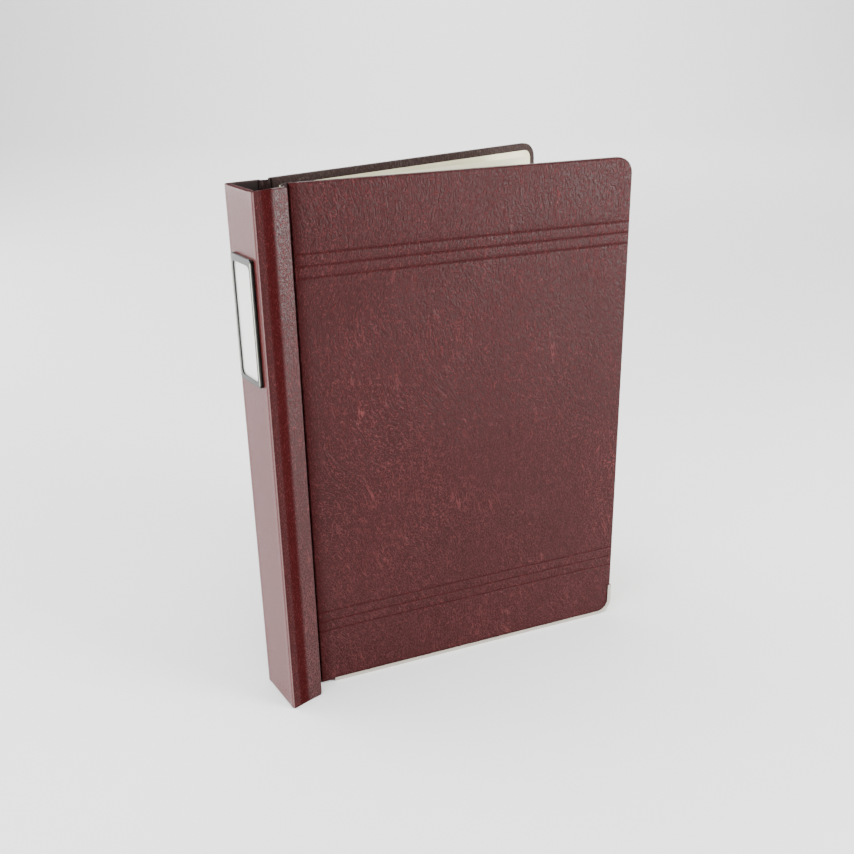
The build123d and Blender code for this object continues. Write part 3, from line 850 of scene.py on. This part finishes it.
FLYLEAF = (0.5, 195.0, 4.0)
PAGE = (0.9, 190.0, HEIGHT / 16)
INTERLEAF = 0.4
POCKETS = (4, 6)
POCKET_START = 17.0
WELD = 0.16
flyleaf_finish = fibre_finish("flyleaf_cream", (0.76, 0.74, 0.57), (0.70, 0.68, 0.50), 1400, 0.00003, 0.7)
interleaf_finish = fibre_finish(
    "interleaf_card_sheet", (0.84, 0.83, 0.77), (0.78, 0.77, 0.70), 1300, 0.00003, 0.7
)
vinyl_finish, tree, shader = new_finish("clear_vinyl", Roughness=0.16, IOR=1.45, Transmission_Weight=0.9)
sheen = speckle(tree, places(tree), 60, 3)
tree.links.new(tint(tree, sheen, (0.90, 0.91, 0.90), (0.96, 0.97, 0.96)), shader.inputs["Base Color"])
emboss(tree, shader, sheen, 0.0002, 0.5)
pocket_steps = (0, 0.015, 0.04, 0.1, 0.3, 0.5, 0.7, 0.9, 0.96, 0.985)


def plain_faces(thick):
    """Both faces of a plain sheet."""
    return lambda u, z: (-thick / 2, thick / 2)


def pocket_lines(start, end, count):
    """Where the rows of points of a run of pockets lie, close together beside each weld."""
    pitch = (end - start) / count
    return [start + pitch * (i + step) for i in range(count) for step in pocket_steps] + [end]


def pocket_faces(u, z):
    """Both faces of a welded page: flat binding strip and welds, with each pocket standing a little proud."""
    width, margin = PAGE[1] - 3, PAGE[2] + 4
    across = (u - POCKET_START) / (width - POCKET_START) * POCKETS[0]
    up = (z - margin) / (HEIGHT - 2 * margin) * POCKETS[1]
    full = 0.0
    if 0 < across < POCKETS[0] and 0 < up < POCKETS[1]:
        full = (1 - abs(2 * (across % 1) - 1) ** 10) * (1 - abs(2 * (up % 1) - 1) ** 10)
    half = WELD / 2 + 0.2 + (PAGE[0] / 2 - WELD / 2 - 0.2) * full
    return -half, half


leaf_offset = LEAF_OFFSET * RING_RADIUS
leaf_direction = LEAF_DIRECTION
flyleaf = leaf(
    "flyleaf_sheet", leaf_offset, leaf_direction, FLYLEAF[1], FLYLEAF[2], spread(20, FLYLEAF[1], 16),
    spread(8, HEIGHT - 8, 20), plain_faces(FLYLEAF[0]),
)
finish_piece(flyleaf, flyleaf_finish, "endpaper", "back_flyleaf")
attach(flyleaf, "back_flyleaf")
before = FLYLEAF[0]
page_columns = pocket_lines(POCKET_START, PAGE[1] - 3, POCKETS[0])
page_rows = pocket_lines(PAGE[2] + 4, HEIGHT - PAGE[2] - 4, POCKETS[1])
for number in (4, 3, 2, 1):
    leaf_offset -= (before + PAGE[0]) / 2 + LEAF_GAP
    leaf_direction -= LEAF_FAN
    page = leaf(
        f"pocket_page_{number}", leaf_offset, leaf_direction, PAGE[1], PAGE[2],
        page_columns, page_rows, pocket_faces,
    )
    finish_piece(page, vinyl_finish, "vinyl", f"coin_page_{number}")
    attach(page, f"coin_page_{number}_leaf")
    if number > 1:
        leaf_offset -= (PAGE[0] + INTERLEAF) / 2 + LEAF_GAP
        leaf_direction -= LEAF_FAN
        card = leaf(
            f"interleaf_sheet_{number - 1}", leaf_offset, leaf_direction, PAGE[1], PAGE[2],
            spread(20, PAGE[1], 16), spread(24, HEIGHT - 24, 18), plain_faces(INTERLEAF),
        )
        finish_piece(card, interleaf_finish, "interleaf_card", f"interleaf_{number - 1}")
        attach(card, f"interleaf_{number - 1}_leaf")
    before = INTERLEAF


# Studio. A plain pale sweep under and behind the album, large soft lights, and the camera.
# One soft light stands low in front, to the right; one stands behind, to the left, and glosses the spine.
SWEEP_REACH = 6.0
sweep_line = [Vector((-4.0, 0.0)), Vector((3.0, 0.0))]
sweep_line += [Vector((3.0 + 1.5 * sin(a), 1.5 - 1.5 * cos(a))) for a in spread(0, pi / 2, 12)[1:]]
sweep_line.append(Vector((4.5, 6.0)))
VIEW_TURN = radians(-31.9)
sweep_points = []
for y, z in sweep_line:
    for x in (-SWEEP_REACH, SWEEP_REACH):
        sweep_points.append(Matrix.Rotation(VIEW_TURN, 3, "Z") @ Vector((x, y, z - 0.0001)))
sweep_faces = [(2 * i, 2 * i + 1, 2 * i + 3, 2 * i + 2) for i in range(len(sweep_line) - 1)]
sweep = make_mesh("studio_sweep", sweep_points, sweep_faces, 60)
sweep_finish, tree, shader = new_finish("studio_paper", Roughness=0.9, Specular_IOR_Level=0.1)
grain = speckle(tree, places(tree), 40, 2)
tree.links.new(tint(tree, grain, (0.93, 0.93, 0.93), (0.95, 0.95, 0.95)), shader.inputs["Base Color"])
sweep.data.materials.append(sweep_finish)


def soft_light(name, place, aim, wide, tall, power):
    """A large rectangular light, turned to face a point."""
    lamp = bpy.data.lights.new(name, "AREA")
    lamp.shape = "RECTANGLE"
    lamp.size, lamp.size_y = wide, tall
    lamp.energy = power
    light = bpy.data.objects.new(name, lamp)
    light.location = place
    light.rotation_euler = (Vector(aim) - Vector(place)).to_track_quat("-Z", "Y").to_euler()
    bpy.context.scene.collection.objects.link(light)


soft_light("front_right_light", (0.9, -1.4, 0.42), (0, 0, 0.15), 0.7, 0.75, 66)
soft_light("back_left_light", (-1.15, 1.35, 0.65), (-0.1, 0, 0.15), 1.3, 1.2, 45)
soft_light("left_light", (-1.6, -0.75, 0.55), (-0.1, 0, 0.15), 0.35, 0.7, 9)
soft_light("overhead_light", (-0.4, -0.3, 2.4), (0, 0, 0), 2.4, 2.4, 120)
soft_light("backdrop_light", (1.3, 1.6, 2.3), (2.6, 4.2, 0.4), 2.0, 1.0, 120)
world = bpy.data.worlds.new("studio_air")
world.use_nodes = True
world.node_tree.nodes["Background"].inputs["Color"].default_value = (1, 1, 1, 1)
world.node_tree.nodes["Background"].inputs["Strength"].default_value = 0.35
bpy.context.scene.world = world

CAMERA_AT = (-0.32621, -0.52490, 0.40288)
CAMERA_HEADING, CAMERA_DROP, CAMERA_ROLL = radians(-31.886), radians(21.949), radians(-1.154)
lens = bpy.data.cameras.new("front_view")
lens.sensor_width = 36.0
lens.lens = 43.29
camera = bpy.data.objects.new("front_view", lens)
turned = Matrix.Rotation(CAMERA_HEADING, 4, "Z") @ Matrix.Rotation(pi / 2 - CAMERA_DROP, 4, "X")
turned = turned @ Matrix.Rotation(CAMERA_ROLL, 4, "Z")
camera.matrix_world = Matrix.Translation(CAMERA_AT) @ turned
bpy.context.scene.collection.objects.link(camera)
bpy.context.scene.camera = camera
